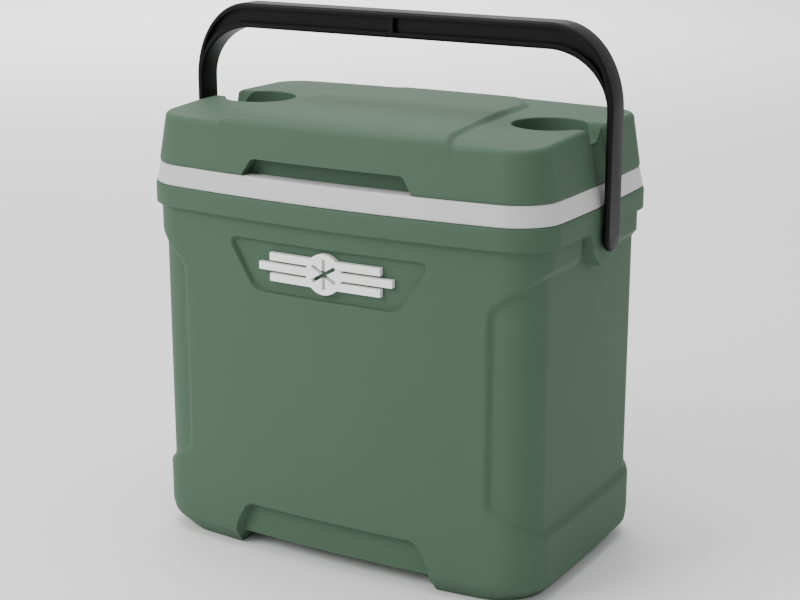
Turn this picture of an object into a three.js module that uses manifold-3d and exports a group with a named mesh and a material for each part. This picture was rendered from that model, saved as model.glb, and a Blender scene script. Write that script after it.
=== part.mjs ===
// A moulded picnic cooler with a hinged lid and a swing-up bail handle, in millimetres.
// +Z is up, the front faces -Y, and the origin is on the ground under the middle of the chest.
// Every ring-shaped piece is drawn as the same rounded rectangle, moved inward by its own inset,
// so a wall, its liner and its foam stay parallel when a size changes.
import * as THREE from 'three';
import { mergeVertices } from 'three/addons/utils/BufferGeometryUtils.js';
import Module from 'manifold-3d';

const wasm = await Module();
wasm.setup();

// Overall sizes
const WIDTH = 420;
const DEPTH = 270;
const CORNER_RADIUS = 41;
const FRONT_BOW = 15;
const SIDE_BOW = 3.4;
const COLLAR_TOP = 342;
const COLLAR_HEIGHT = 20;
const COLLAR_BLEND = 3;
const BAND_HEIGHT = 18.7;
const LID_HEIGHT = 48;
const PANEL_RISE = 4.5;
const GAP = 0.3;
const OVERCUT = 2;
const LARGE_ROUND = 48;
const SMALL_ROUND = 20;
const WELD = 0.03;

// Body shell
const WALL_INSET = 5.8;
const SKIN = 3;
const FOOT_INSET = 18.5;
const FOOT_CHAMFER = 15;
const FOOT_CORNER = 20;
const FOOT_CORNER_HEIGHT = 60;
const GROUND_CLEARANCE = 14;
const ARCH_HALF_WIDTH = 117;
const ARCH_TOP = 46;
const ARCH_SLANT = 26;
const ARCH_CORNER = 3.5;
const ARCH_DEPTH = 10;
const ARCH_SKIN = 4;
const CAVITY_STEP = 7;
const SIDE_RECESS_DEPTH = 4.6;
const SIDE_RECESS_BOTTOM = 64;
const SIDE_RECESS_TOP = 299;
const SIDE_RECESS_EDGE = 53;
const SIDE_RECESS_RISE = 24;
const SIDE_RECESS_FALL = 29;
const RECESS_SLOPE = 8;
const RECESS_CORNER = 6;
const BOSS_POCKET_HALF_WIDTH = 37;
const BADGE_RECESS_DEPTH = 4.5;
const BADGE_CENTRE_Z = 281.5;
const BADGE_HALF_HEIGHT = 24.5;
const BADGE_HALF_TOP = 103;
const BADGE_HALF_BOTTOM = 76;
const BADGE_CORNER = 5;
const BADGE_PROUD = 0.6;
const BADGE_MARGIN = 6;
const BADGE_BAR = 7;
const BADGE_BAR_PITCH = 9.5;
const BADGE_BAR_STEP = 12;
const BADGE_ARM = 3.4;
const BADGE_ARM_REACH = 14.5;

// Liner tub
const TUB_FLOOR = 41;
const TUB_INSET = 33;
const TUB_DRAFT = 5;
const TUB_CORNER = 60;
const TUB_CHAMFER = 8;
const LINER_WALL = 3;
const FLANGE_PLATE = 4;
const BAND_SETBACK = 1.3;
const BAND_SLOPE = 5;
const BAND_EDGE = 1.5;

// Lid
const LID_TAPER = 7;
const LID_EDGE = 7;
const LID_LINER_PLATE = 3;
const PLUG_DEPTH = 12;
const PLUG_CLEARANCE = 3;
const CUP_RADIUS = 34;
const CUP_DEPTH = 26;
const CUP_X = 154;
const CUP_Y = 1;
const CHANNEL_HALF_WIDTH = 17;
const CHANNEL_Y = 6.5;
const CHANNEL_DEPTH = 14;
const SIDE_CHANNEL_DEPTH = 4;
const FINGER_HALF_TOP = 78;
const FINGER_HALF_BOTTOM = 88;
const FINGER_HEIGHT = 15.5;
const FINGER_DEPTH = 15;
const FINGER_CORNER = 3;
const PANEL_HALF_FRONT = 117;
const PANEL_HALF_NECK = 104;
const PANEL_HALF_WAIST = 93;
const PANEL_HALF_REAR = 50;
const PANEL_NOSE = 15;
const PANEL_FLARE = 45;
const PANEL_HOOK = 62;
const DECK_KNEE_Y = -45;
const DECK_FALL = 5;
const CREASE_Y = 10;
const PANEL_FALL_FRONT = 5.5;
const PANEL_FALL_REAR = 4.3;
const PLUG_CHAMFER = 3;
const PAD_MARGIN = 3;
const LID_FOOT = 2;
const LID_EDGE_BULGE = 0.3;
const LID_EDGE_SKIN = 4;
const PAD_DEPTH = 12;

// Bail handle and its pivots
const PIVOT_Z = 315;
const BOSS_RADIUS = 27;
const BOSS_ROOT = 2;
const STUD_RADIUS = 6;
const STUD_CLEARANCE = 0.3;
const BUSH_WALL = 2.7;
const BUSH_PROUD = 1.5;
const BUSH_LENGTH = 12;
const STRAP_OFFSET = 2.5;
const STRAP_THICKNESS = 6;
const STRAP_WIDTH = 26;
const BAIL_TOP = 499;
const BAR_HEIGHT = 23.4;
const BAIL_CORNER_X = 60;
const BAIL_CORNER_Z = 75;
const GRIP_RIM = 5;
const GRIP_DEPTH = 5;
const GRIP_RIB = 4;
const GRIP_TIP_RISE = 12;
const GRIP_TIP_INSET = 4;
const GRIP_BOW_INSET = 6;
const BOW_EASE = 3;
const BOW_STEPS = 12;
const STUD_SHORT = 3;

// Rear hinges
const HINGE_X = 110;
const HINGE_WIDTH = 44;
const HINGE_INSET = 8.9;
const LEAF_THICKNESS = 2.5;
const LEAF_REACH = 24;
const LEAF_STANDOFF = 5;
const KNUCKLE_RADIUS = 3.9;
const KNUCKLE_SPLIT = 8;
const HINGE_PIN_RADIUS = 1.5;
const SCREW_RADIUS = 1.5;
const SCREW_HEAD_RADIUS = 3.2;
const SCREW_HEAD = 1.6;
const SCREW_LENGTH = 6;
const SCREW_SPACING = 28;
const SCREW_EDGE = 4;
const SCREW_SEAT = 0.5;
const PIN_CLEARANCE = 0.2;
const LEAF_MARGIN = 1;
const KNUCKLE_ROOT = 1;

// Places that follow from the sizes
const HALF_X = WIDTH / 2;
const HALF_Y = DEPTH / 2;
const COLLAR_BOTTOM = COLLAR_TOP - COLLAR_HEIGHT;
const CAVITY_INSET = WALL_INSET + SIDE_RECESS_DEPTH + SKIN;
const ARCH_INSET = WALL_INSET + ARCH_DEPTH;
const LOW_CAVITY_INSET = ARCH_INSET + ARCH_SKIN;
const CAVITY_FLOOR = GROUND_CLEARANCE + SKIN;
const BAND_TOP = COLLAR_TOP + BAND_HEIGHT;
const LID_BOTTOM = BAND_TOP + GAP;
const LID_TOP = LID_BOTTOM + LID_HEIGHT;
const PANEL_TOP = LID_TOP + PANEL_RISE;
const TUB_BOTTOM_INSET = TUB_INSET + TUB_DRAFT;
const FAR = WIDTH + DEPTH;
const STRAP_INNER = HALF_X + STRAP_OFFSET;
const STRAP_OUTER = STRAP_INNER + STRAP_THICKNESS;
const BUSH_RADIUS = STUD_RADIUS + STUD_CLEARANCE + BUSH_WALL;
const HINGE_BED_Y = HALF_Y - HINGE_INSET;
const HINGE_AXIS_Y = HINGE_BED_Y + LEAF_STANDOFF;
const HINGE_AXIS_Z = LID_BOTTOM - GAP / 2;

// ---- shape helpers ----

const toSolid = (geometry) => {
  geometry.deleteAttribute('normal');
  geometry.deleteAttribute('uv');
  const merged = mergeVertices(geometry, 1e-4);
  return new wasm.Manifold(new wasm.Mesh({
    numProp: 3,
    vertProperties: new Float32Array(merged.attributes.position.array),
    triVerts: new Uint32Array(merged.index.array),
  }));
};

const toGeometry = (solid) => {
  const mesh = solid.simplify(WELD).getMesh();
  const geometry = new THREE.BufferGeometry();
  geometry.setAttribute('position', new THREE.BufferAttribute(mesh.vertProperties, 3));
  geometry.setIndex(new THREE.BufferAttribute(mesh.triVerts, 1));
  geometry.computeVertexNormals();
  return geometry;
};

const box = (low, high) => {
  const size = high.map((value, i) => value - low[i]);
  const geometry = new THREE.BoxGeometry(...size);
  geometry.translate(...low.map((value, i) => value + size[i] / 2));
  return toSolid(geometry);
};

// A round bar from one place to another along one axis.
const bar = (axis, radius, from, to, centre, sides = 32) => {
  const geometry = new THREE.CylinderGeometry(radius, radius, to - from, sides);
  if (axis === 'x') geometry.rotateZ(Math.PI / 2);
  if (axis === 'z') geometry.rotateX(Math.PI / 2);
  const middle = (from + to) / 2;
  const place = { x: [middle, ...centre], y: [centre[0], middle, centre[1]], z: [...centre, middle] }[axis];
  geometry.translate(...place);
  return toSolid(geometry);
};

// A flat outline drawn in X and Z, pushed through along Y.
const frontPrism = (points, fromY, toY) => {
  const shape = new THREE.Shape(points.map(([x, z]) => new THREE.Vector2(x, z)));
  const geometry = new THREE.ExtrudeGeometry(shape, { depth: toY - fromY, bevelEnabled: false });
  geometry.rotateX(Math.PI / 2);
  geometry.translate(0, toY, 0);
  return toSolid(geometry);
};

// A flat outline drawn in X and Y, pushed up along Z.
const plan = (points, fromZ, toZ) => {
  const shape = new THREE.Shape(points.map(([x, y]) => new THREE.Vector2(x, y)));
  const geometry = new THREE.ExtrudeGeometry(shape, { depth: toZ - fromZ, bevelEnabled: false });
  geometry.translate(0, 0, fromZ);
  return toSolid(geometry);
};

const mirrored = (points) => points.map(([x, z]) => [-x, z]).reverse();

// The chest's plan outline at inset 0: corner arcs, and long sides divided so that they can bow.
const planOutline = (radius) => {
  const points = [];
  const [cx, cy] = [HALF_X - radius, HALF_Y - radius];
  const corners = [[cx, -cy, -90], [cx, cy, 0], [-cx, cy, 90], [-cx, -cy, 180]];
  corners.forEach(([x, y, start], i) => {
    for (let step = 0; step <= 6; step += 1) {
      const angle = THREE.MathUtils.degToRad(start + step * 15);
      points.push(new THREE.Vector2(x + radius * Math.cos(angle), y + radius * Math.sin(angle)));
    }
    const next = corners[(i + 1) % 4];
    const turn = THREE.MathUtils.degToRad(next[2]);
    const end = new THREE.Vector2(next[0] + radius * Math.cos(turn), next[1] + radius * Math.sin(turn));
    const last = points[points.length - 1];
    const pieces = i % 2 === 0 ? 6 : 14;
    for (let step = 1; step < pieces; step += 1) points.push(last.clone().lerp(end, step / pieces));
  });
  return points;
};

// The front and back swell outward at the middle, and the sides do so a little.
const bow = (x, y) => [
  x * (1 - (SIDE_BOW / HALF_X) * (y / HALF_Y) ** 2),
  y * (1 - (FRONT_BOW / HALF_Y) * (x / HALF_X) ** 2),
];

// A closed solid whose plan is the chest's outline moved inward: profile lists [z, inset] upward.
const form = (profile, radius = CORNER_RADIUS) => {
  const steps = profile.length - 1;
  const shape = new THREE.Shape(planOutline(radius));
  const geometry = new THREE.ExtrudeGeometry(shape, { depth: steps, steps, bevelEnabled: false });
  const position = geometry.attributes.position;
  const [cx, cy] = [HALF_X - radius, HALF_Y - radius];
  for (let i = 0; i < position.count; i += 1) {
    const [z, inset] = profile[Math.round(position.getZ(i))];
    const [x, y] = [position.getX(i), position.getY(i)];
    const normal = new THREE.Vector2(
      x - THREE.MathUtils.clamp(x, -cx, cx),
      y - THREE.MathUtils.clamp(y, -cy, cy),
    ).normalize();
    position.setXYZ(i, ...bow(x - inset * normal.x, y - inset * normal.y), z);
  }
  return toSolid(geometry);
};

const withMirror = (solid) => solid.add(solid.mirror([1, 0, 0]));

// ---- body ----

const footSlope = (FOOT_INSET - WALL_INSET) / FOOT_CHAMFER;
const footTopInset = FOOT_INSET - FOOT_CORNER_HEIGHT * footSlope;
// The runners' corners are rounder than the wall's, so the slope climbs as it turns each corner.
const footCorners = form([
  [0, FOOT_INSET],
  [FOOT_CORNER_HEIGHT, footTopInset],
  [COLLAR_TOP, footTopInset],
], CORNER_RADIUS + FOOT_CORNER);

const outerBody = form([
  [0, FOOT_INSET],
  [FOOT_CHAMFER, WALL_INSET],
  [COLLAR_BOTTOM - COLLAR_BLEND / 2, WALL_INSET],
  [COLLAR_BOTTOM + COLLAR_BLEND / 2, 0],
  [COLLAR_TOP, 0],
]).intersect(footCorners);

// The recessed panel on each side wraps round both corners and ends on the front and the back.
const sideRecess = () => {
  const edge = HALF_X - SIDE_RECESS_EDGE;
  const outline = [
    [edge, SIDE_RECESS_BOTTOM + SIDE_RECESS_RISE],
    [edge + RECESS_CORNER, SIDE_RECESS_BOTTOM + SIDE_RECESS_RISE - RECESS_CORNER],
    [HALF_X, SIDE_RECESS_BOTTOM - RECESS_SLOPE],
    [HALF_X + SIDE_RECESS_EDGE, SIDE_RECESS_BOTTOM - RECESS_SLOPE],
    [HALF_X + SIDE_RECESS_EDGE, SIDE_RECESS_TOP + RECESS_SLOPE],
    [HALF_X, SIDE_RECESS_TOP + RECESS_SLOPE],
    [edge + RECESS_CORNER, SIDE_RECESS_TOP - SIDE_RECESS_FALL + RECESS_CORNER],
    [edge, SIDE_RECESS_TOP - SIDE_RECESS_FALL],
  ];
  const floorInset = WALL_INSET + SIDE_RECESS_DEPTH;
  const core = form([
    [0, WALL_INSET - OVERCUT],
    [SIDE_RECESS_BOTTOM - RECESS_SLOPE, WALL_INSET - OVERCUT],
    [SIDE_RECESS_BOTTOM + RECESS_SLOPE, floorInset],
    [SIDE_RECESS_TOP - RECESS_SLOPE / 2, floorInset],
    [SIDE_RECESS_TOP + RECESS_SLOPE / 2, WALL_INSET - OVERCUT],
    [COLLAR_TOP, WALL_INSET - OVERCUT],
  ]);
  return withMirror(frontPrism(outline, -HALF_Y, HALF_Y)).subtract(core);
};

// Beside each boss the recess runs on up to the collar.
const bossPocket = () => {
  const floorInset = WALL_INSET + SIDE_RECESS_DEPTH;
  const half = BOSS_POCKET_HALF_WIDTH;
  const low = [HALF_X - CAVITY_INSET, -half, SIDE_RECESS_TOP - RECESS_SLOPE];
  const high = [FAR, half, COLLAR_BOTTOM - RECESS_SLOPE / 2];
  return withMirror(box(low, high)).subtract(form([[0, floorInset], [COLLAR_TOP, floorInset]]));
};

const archCut = () => {
  const slantAt = (z) => ARCH_HALF_WIDTH - (ARCH_SLANT * z) / ARCH_TOP;
  const below = -GROUND_CLEARANCE;
  const half = [
    [slantAt(below), below],
    [slantAt(ARCH_TOP - ARCH_CORNER), ARCH_TOP - ARCH_CORNER],
    [slantAt(ARCH_TOP) - ARCH_CORNER, ARCH_TOP],
  ];
  const arch = frontPrism([...half, ...mirrored(half)], -FAR, FAR);
  const core = form([[2 * below, ARCH_INSET], [COLLAR_TOP, ARCH_INSET]]);
  const tunnel = [[slantAt(below), below], [slantAt(GROUND_CLEARANCE), GROUND_CLEARANCE]];
  const underside = frontPrism([...tunnel, ...mirrored(tunnel)], -FAR, FAR);
  return arch.subtract(core).add(underside);
};

const badgeRecess = () => {
  const [low, high] = [BADGE_CENTRE_Z - BADGE_HALF_HEIGHT, BADGE_CENTRE_Z + BADGE_HALF_HEIGHT];
  const half = [
    [BADGE_HALF_BOTTOM - BADGE_CORNER, low],
    [BADGE_HALF_BOTTOM + BADGE_CORNER / 2, low + BADGE_CORNER],
    [BADGE_HALF_TOP, high - BADGE_CORNER],
    [BADGE_HALF_TOP - BADGE_CORNER, high],
  ];
  const prism = frontPrism([...half, ...mirrored(half)], -FAR, 0);
  const floorInset = WALL_INSET + BADGE_RECESS_DEPTH;
  return prism.subtract(form([[0, floorInset], [COLLAR_TOP, floorInset]]));
};

const cavity = (gap) => form([
  [CAVITY_FLOOR + gap, LOW_CAVITY_INSET + gap],
  [ARCH_TOP + ARCH_SKIN, LOW_CAVITY_INSET + gap],
  [ARCH_TOP + ARCH_SKIN + CAVITY_STEP, CAVITY_INSET + gap],
  [BAND_TOP - FLANGE_PLATE - gap, CAVITY_INSET + gap],
]);

// The pivot stands in a rounded boss that hangs from the collar, level with it.
const boss = bar('x', BOSS_RADIUS, HALF_X - CAVITY_INSET + BOSS_ROOT, HALF_X - GAP, [0, PIVOT_Z], LARGE_ROUND);
const bushBottom = HALF_X + BUSH_PROUD - BUSH_LENGTH;
const bushPocket = bar('x', BUSH_RADIUS + GAP, bushBottom - GAP, HALF_X + OVERCUT, [0, PIVOT_Z]);

const hingeBoxes = (low, high, margin, bedY) => {
  const half = HINGE_WIDTH / 2 + margin;
  return withMirror(box([HINGE_X - half, bedY, low], [HINGE_X + half, HALF_Y + OVERCUT, high]));
};
const screwXs = [HINGE_X - SCREW_SPACING / 2, HINGE_X + SCREW_SPACING / 2];
const bodyScrewZ = HINGE_AXIS_Z - LEAF_STANDOFF - LEAF_REACH + SCREW_EDGE;
const lidScrewZ = HINGE_AXIS_Z + LEAF_STANDOFF + LEAF_REACH / 2;
const screwEndY = HINGE_BED_Y + GAP + LEAF_THICKNESS + GAP - SCREW_LENGTH;
const screwHoles = (z) => withMirror(screwXs
  .map((x) => bar('y', SCREW_RADIUS + GAP, screwEndY - GAP, HALF_Y + OVERCUT, [x, z], SMALL_ROUND))
  .reduce((all, hole) => all.add(hole)));
const leafEnd = LEAF_STANDOFF + LEAF_REACH + LEAF_MARGIN;
const bodyHingePocket = hingeBoxes(HINGE_AXIS_Z - leafEnd, BAND_TOP + OVERCUT, LEAF_MARGIN, HINGE_BED_Y);
const lidHingePocket = hingeBoxes(LID_BOTTOM - OVERCUT, HINGE_AXIS_Z + leafEnd, LEAF_MARGIN, HINGE_BED_Y);

const bodyShell = outerBody
  .subtract(sideRecess())
  .subtract(bossPocket())
  .add(withMirror(boss))
  .subtract(archCut())
  .subtract(badgeRecess())
  .subtract(cavity(0))
  .subtract(withMirror(bushPocket))
  .subtract(bodyHingePocket)
  .subtract(screwHoles(bodyScrewZ));

const tub = (wall) => form([
  [TUB_FLOOR - wall, TUB_BOTTOM_INSET + TUB_CHAMFER - wall],
  [TUB_FLOOR + TUB_CHAMFER - wall, TUB_BOTTOM_INSET - wall],
  [BAND_TOP + OVERCUT, TUB_INSET - wall],
], TUB_CORNER);

const bodyFoam = cavity(GAP).subtract(tub(LINER_WALL + GAP));

const flange = form([
  [COLLAR_TOP + GAP, BAND_SETBACK],
  [BAND_TOP - BAND_EDGE, BAND_SLOPE],
  [BAND_TOP, BAND_SLOPE + BAND_EDGE],
]);
const tubOuter = tub(LINER_WALL).subtract(box([-FAR, -FAR, BAND_TOP - FLANGE_PLATE / 2], [FAR, FAR, FAR]));
const liner = flange
  .subtract(form([[0, CAVITY_INSET], [BAND_TOP - FLANGE_PLATE, CAVITY_INSET]]))
  .add(tubOuter)
  .subtract(tub(0))
  .subtract(bodyHingePocket);

// ---- badge: a plain winter motif with no lettering ----

const snowflake = (length, width) => {
  const arms = [0, 60, 120].map((degrees) => {
    const geometry = new THREE.BoxGeometry(2 * length, DEPTH, width);
    geometry.rotateY(THREE.MathUtils.degToRad(degrees + 30));
    geometry.translate(0, 0, BADGE_CENTRE_Z);
    return toSolid(geometry);
  });
  return arms.reduce((all, arm) => all.add(arm));
};

const badge = () => {
  const bars = [-1, 0, 1].map((row) => {
    const z = BADGE_CENTRE_Z + row * BADGE_BAR_PITCH;
    const reach = BADGE_HALF_BOTTOM - BADGE_MARGIN - Math.abs(row) * BADGE_BAR_STEP;
    return box([-reach, -HALF_Y, z - BADGE_BAR / 2], [reach, 0, z + BADGE_BAR / 2]);
  });
  const disc = bar('y', BADGE_HALF_HEIGHT - BADGE_MARGIN, -HALF_Y, 0, [0, BADGE_CENTRE_Z], LARGE_ROUND);
  const motif = bars.reduce((all, one) => all.add(one), disc).subtract(snowflake(BADGE_ARM_REACH, BADGE_ARM));
  const [back, face] = [WALL_INSET + BADGE_RECESS_DEPTH - GAP, WALL_INSET - BADGE_PROUD];
  const layer = form([[0, face], [COLLAR_TOP, face]]).subtract(form([[-GAP, back], [COLLAR_TOP + GAP, back]]));
  return motif.intersect(layer);
};

// ---- lid ----

const lidProfile = (top, extra) => [
  [LID_BOTTOM, BAND_SLOPE + LID_FOOT + extra],
  [LID_BOTTOM + LID_FOOT, BAND_SLOPE + extra],
  [top - LID_EDGE, BAND_SLOPE + LID_TAPER + extra],
  [top - LID_EDGE * LID_EDGE_BULGE, BAND_SLOPE + LID_TAPER + LID_EDGE * LID_EDGE_BULGE + extra],
  [top, BAND_SLOPE + LID_TAPER + LID_EDGE + extra],
];

// The raised middle of the lid narrows behind its front edge and again toward the back.
const panelHalf = [
  [PANEL_HALF_FRONT, -FAR],
  [PANEL_HALF_FRONT, -HALF_Y + PANEL_NOSE],
  [PANEL_HALF_NECK, -HALF_Y + PANEL_FLARE],
  [PANEL_HALF_WAIST, HALF_Y - PANEL_HOOK],
  [PANEL_HALF_REAR, HALF_Y],
  [PANEL_HALF_REAR, FAR],
];
const panelBlock = plan([...panelHalf, ...mirrored(panelHalf)], LID_BOTTOM, FAR);

// A block under a broken roof line, which lists [y, z] from front to back.
const underRoof = (line) => {
  const shape = new THREE.Shape([[FAR, 0], [-FAR, 0], ...line].map(([y, z]) => new THREE.Vector2(y, z)));
  const geometry = new THREE.ExtrudeGeometry(shape, { depth: 2 * FAR, bevelEnabled: false });
  geometry.rotateX(Math.PI / 2);
  geometry.rotateZ(Math.PI / 2);
  geometry.translate(-FAR, 0, 0);
  return toSolid(geometry);
};

// The lid falls toward its front edge, and its raised middle falls both ways from a crease.
const deckSlope = DECK_FALL / (HALF_Y + DECK_KNEE_Y);
const deckRoof = (drop) => underRoof([
  [-FAR, LID_TOP - drop - deckSlope * (FAR + DECK_KNEE_Y)],
  [DECK_KNEE_Y, LID_TOP - drop],
  [FAR, LID_TOP - drop],
]);
const panelRoof = underRoof([
  [-FAR, PANEL_TOP - (PANEL_FALL_FRONT * (FAR + CREASE_Y)) / (HALF_Y + CREASE_Y)],
  [CREASE_Y, PANEL_TOP],
  [FAR, PANEL_TOP - (PANEL_FALL_REAR * (FAR - CREASE_Y)) / (HALF_Y - CREASE_Y)],
]);
const lidBlock = form(lidProfile(LID_TOP, 0)).intersect(deckRoof(0))
  .add(form(lidProfile(PANEL_TOP, 0)).intersect(panelBlock).intersect(panelRoof));

// Each hinge leaf lies on a flat pad that stands out from the sloping back of the lid.
const lidPads = withMirror(box(
  [HINGE_X - HINGE_WIDTH / 2 - PAD_MARGIN, HINGE_BED_Y - PAD_DEPTH, LID_BOTTOM + LID_FOOT],
  [HINGE_X + HINGE_WIDTH / 2 + PAD_MARGIN, HINGE_BED_Y, HINGE_AXIS_Z + LEAF_STANDOFF + LEAF_REACH + PAD_MARGIN],
));
const lidOuter = lidBlock.add(lidPads);

const cup = (radius, low) => withMirror(bar('z', radius, low, BAIL_TOP, [CUP_X, CUP_Y], 40));
const cupFloor = LID_TOP - CUP_DEPTH;
const channelFloor = LID_TOP - CHANNEL_DEPTH;
const channel = (grow) => {
  const half = CHANNEL_HALF_WIDTH + grow;
  return withMirror(box([CUP_X, CHANNEL_Y - half, channelFloor - grow], [FAR, CHANNEL_Y + half, FAR]));
};
const sideChannelBox = (grow) => {
  const half = CHANNEL_HALF_WIDTH + grow;
  const deep = HALF_X - BAND_SLOPE - LID_TAPER - SIDE_CHANNEL_DEPTH - OVERCUT - grow;
  return withMirror(box([deep, CHANNEL_Y - half, LID_BOTTOM - PLUG_DEPTH], [FAR, CHANNEL_Y + half, PANEL_TOP]));
};
const sideChannel = sideChannelBox(0).subtract(form([
  [0, BAND_SLOPE + SIDE_CHANNEL_DEPTH],
  [LID_BOTTOM + LID_FOOT, BAND_SLOPE + SIDE_CHANNEL_DEPTH],
  [LID_TOP, BAND_SLOPE + LID_TAPER + SIDE_CHANNEL_DEPTH],
]));
const finger = (grow) => {
  const half = [
    [FINGER_HALF_BOTTOM + grow, LID_BOTTOM - PLUG_DEPTH],
    [FINGER_HALF_BOTTOM + grow, LID_BOTTOM + LID_FOOT],
    [FINGER_HALF_TOP + FINGER_CORNER + grow, LID_BOTTOM + FINGER_HEIGHT - FINGER_CORNER + grow],
    [FINGER_HALF_TOP - FINGER_CORNER + grow, LID_BOTTOM + FINGER_HEIGHT + grow],
  ];
  const inner = BAND_SLOPE + FINGER_DEPTH + grow;
  return frontPrism([...half, ...mirrored(half)], -FAR, 0).subtract(form([[0, inner], [BAIL_TOP, inner]]));
};

// Solid lumps of the shell that stand in the lid's hollow behind each recess and hinge.
const lidLumps = (gap) => cup(CUP_RADIUS + SKIN + gap, cupFloor - SKIN - gap)
  .add(channel(SKIN + gap))
  .add(sideChannelBox(SKIN + gap))
  .add(finger(SKIN + gap))
  .add(hingeBoxes(LID_BOTTOM - PLUG_DEPTH, HINGE_AXIS_Z + leafEnd + SKIN + gap,
    LID_EDGE_SKIN + gap, screwEndY - SKIN - gap));

const lidHollow = (gap) => form([
  [LID_BOTTOM - PLUG_DEPTH, BAND_SLOPE + LID_FOOT + SKIN + gap],
  [LID_BOTTOM + LID_FOOT, BAND_SLOPE + LID_FOOT + SKIN + gap],
  [LID_TOP - LID_EDGE, BAND_SLOPE + LID_TAPER + LID_EDGE_SKIN + gap],
  [LID_TOP - SKIN - gap, BAND_SLOPE + LID_TAPER + LID_EDGE + SKIN + gap],
]).intersect(deckRoof(SKIN + gap)).subtract(lidLumps(gap));

const lidShell = lidOuter
  .subtract(lidHollow(0))
  .subtract(cup(CUP_RADIUS, cupFloor))
  .subtract(channel(0))
  .subtract(sideChannel)
  .subtract(finger(0))
  .subtract(lidHingePocket)
  .subtract(screwHoles(lidScrewZ));

const plugInset = TUB_INSET + PLUG_CLEARANCE;
const plugTop = LID_BOTTOM + GAP + LID_LINER_PLATE;
const plug = (shrink, top) => form([
  [LID_BOTTOM - PLUG_DEPTH + shrink, plugInset + PLUG_CHAMFER + shrink],
  [LID_BOTTOM - PLUG_DEPTH + PLUG_CHAMFER + shrink, plugInset + shrink],
  [top, plugInset + shrink],
], TUB_CORNER);
const lidLiner = lidHollow(GAP)
  .subtract(box([-FAR, -FAR, plugTop], [FAR, FAR, FAR]))
  .subtract(box([-FAR, -FAR, 0], [FAR, FAR, LID_BOTTOM + GAP]))
  .add(plug(0, plugTop))
  .subtract(plug(LINER_WALL, plugTop + OVERCUT));
const lidFoam = lidHollow(GAP)
  .subtract(box([-FAR, -FAR, 0], [FAR, FAR, plugTop + GAP]))
  .add(plug(LINER_WALL + GAP, plugTop + OVERCUT));

// ---- bail handle ----

// One quarter of the bow: a straight strap, then an elliptical corner, ending at the middle.
const bowEdge = (x, top, radiusX, radiusZ, steps) => {
  const points = [];
  for (let step = 0; step <= steps; step += 1) {
    const angle = (Math.PI / 2) * (step / steps);
    points.push([x - radiusX + radiusX * Math.cos(angle), top - radiusZ + radiusZ * Math.sin(angle)]);
  }
  return points;
};

const bailHandle = () => {
  const lowest = PIVOT_Z - STRAP_WIDTH;
  const bottom = BAIL_TOP - BAR_HEIGHT;
  const outer = [[STRAP_OUTER, lowest], ...bowEdge(STRAP_OUTER, BAIL_TOP, BAIL_CORNER_X, BAIL_CORNER_Z, BOW_STEPS)];
  const innerRadiusZ = BAIL_CORNER_Z - BAR_HEIGHT;
  const innerRadiusX = BAIL_CORNER_X - BOW_EASE;
  const inner = [[STRAP_INNER, lowest], ...bowEdge(STRAP_INNER, bottom, innerRadiusX, innerRadiusZ, BOW_STEPS)];
  const half = STRAP_WIDTH / 2;
  const ring = frontPrism([...outer, ...mirrored(outer)], -half, half)
    .subtract(frontPrism([...inner, ...mirrored(inner)], -half - OVERCUT, half + OVERCUT));
  const ends = box([-FAR, -half, PIVOT_Z], [FAR, half, FAR]).add(bar('x', half, -FAR, FAR, [0, PIVOT_Z], LARGE_ROUND));
  const tipZ = BAIL_TOP - BAIL_CORNER_Z + GRIP_TIP_RISE;
  const tipX = (STRAP_INNER + STRAP_OUTER) / 2 - GRIP_TIP_INSET;
  const reach = BAIL_CORNER_X - GRIP_BOW_INSET;
  const gripTop = bowEdge(tipX, BAIL_TOP - GRIP_RIM, reach, BAIL_TOP - GRIP_RIM - tipZ, BOW_STEPS);
  const gripLow = bowEdge(tipX, bottom + GRIP_RIM, reach, bottom + GRIP_RIM - tipZ, BOW_STEPS).slice(1).reverse();
  const grip = [
    ...gripTop,
    [GRIP_RIB / 2, BAIL_TOP - GRIP_RIM],
    [GRIP_RIB / 2, bottom + GRIP_RIM],
    ...gripLow,
  ];
  const front = withMirror(frontPrism(grip, -half - OVERCUT, -half + GRIP_DEPTH));
  const back = withMirror(frontPrism(grip, half - GRIP_DEPTH, half + OVERCUT));
  const stud = bar('x', STUD_RADIUS, bushBottom + STUD_SHORT, STRAP_INNER + OVERCUT, [0, PIVOT_Z]);
  return ring.intersect(ends).subtract(front).subtract(back).add(withMirror(stud));
};

const bush = bar('x', BUSH_RADIUS, bushBottom, HALF_X + BUSH_PROUD, [0, PIVOT_Z])
  .subtract(bar('x', STUD_RADIUS + STUD_CLEARANCE, bushBottom - OVERCUT, HALF_X + OVERCUT, [0, PIVOT_Z]));

// ---- hinges ----

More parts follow.
